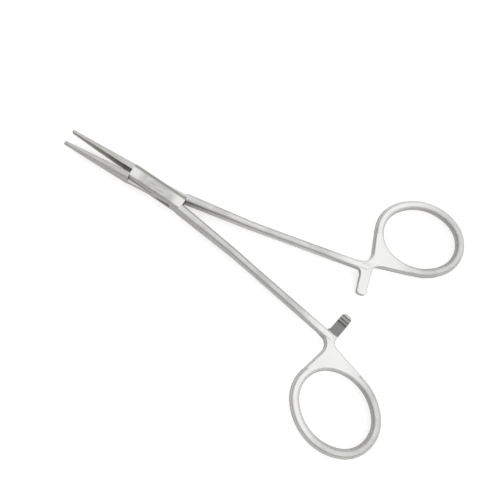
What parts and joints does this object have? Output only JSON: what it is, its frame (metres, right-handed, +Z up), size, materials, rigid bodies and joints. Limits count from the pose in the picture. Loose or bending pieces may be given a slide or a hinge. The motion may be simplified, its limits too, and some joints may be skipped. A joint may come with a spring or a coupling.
{
  "type": "mosquito forceps",
  "caption": "Small surgical haemostat: slim straight serrated jaws, a box lock, oval finger rings and a ratchet between the shanks.",
  "frame": {"origin": "centre of the rivet's lower end, in the underside of the box lock", "axes": "+Z up along the rivet, +X along the length towards the finger rings, +Y towards the ring of the inner half, jaws at -X"},
  "size_m": [0.1223, 0.0852, 0.005],
  "materials": {
    "instrument_steel": "fine satin, bright edges"
  },
  "bodies": {
    "outer_half": {"box_half": "instrument_steel", "pivot_pin": "instrument_steel"},
    "inner_half": {"tongue_half": "instrument_steel"}
  },
  "joints": [
    {"name": "box_lock_pivot", "type": "hinge", "parent": "outer_half", "child": "inner_half", "pos_m": [0, 0, 0.0025], "axis": [0, 0, 1], "range_deg": [-6.5, 38.2]}
  ]
}
